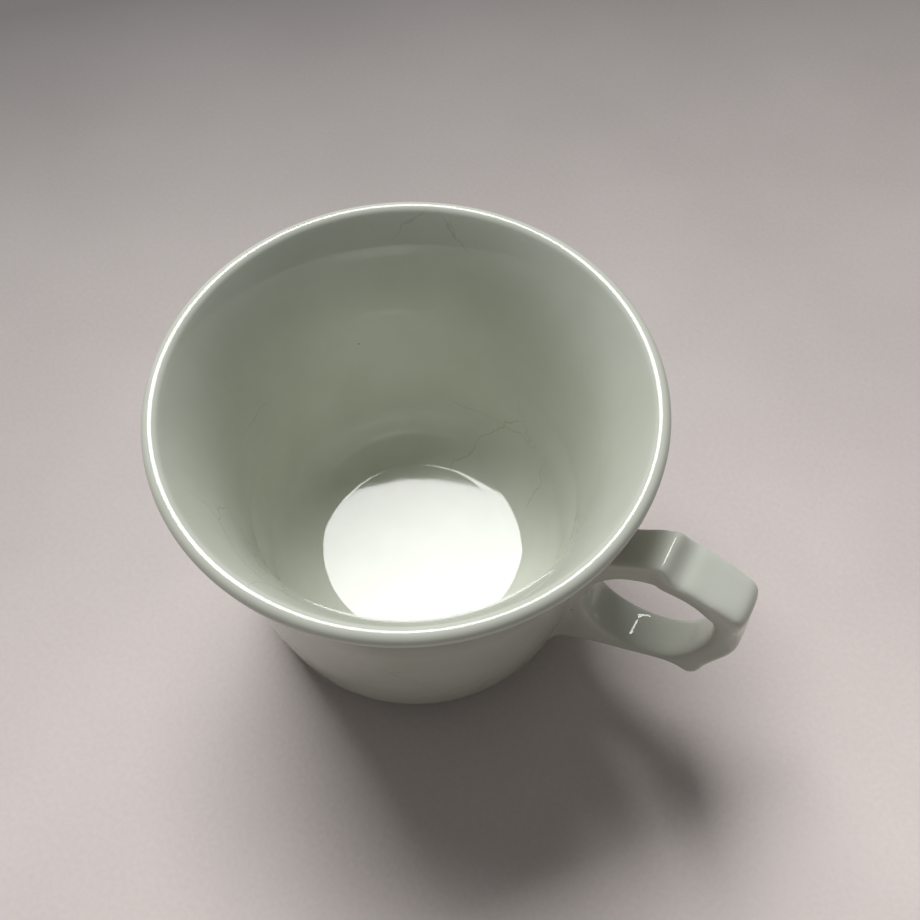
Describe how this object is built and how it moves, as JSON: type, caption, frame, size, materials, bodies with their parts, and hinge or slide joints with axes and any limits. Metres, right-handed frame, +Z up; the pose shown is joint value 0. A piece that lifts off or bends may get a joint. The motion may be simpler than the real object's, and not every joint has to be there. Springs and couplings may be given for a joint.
{
  "type": "teacup",
  "caption": "Thick-walled glazed teacup with a flaring rounded lip, a low foot ring and a cast loop handle with a thumb rest.",
  "frame": {"origin": "middle of the resting plane under the foot ring, on the bowl's axis", "axes": "+Z up along the bowl's axis, +X towards the handle, +Y across the handle"},
  "size_m": [0.1154, 0.092, 0.0702],
  "materials": {
    "clay": "matte",
    "slip": "matte",
    "glazed_clay": "gloss",
    "glaze": "gloss"
  },
  "bodies": {
    "root": {"bowl": "clay", "foot_ring": "clay", "handle_joint": "slip", "handle": "glazed_clay", "bowl_glaze": "glaze", "underside_glaze": "glaze"}
  },
  "joints": []
}
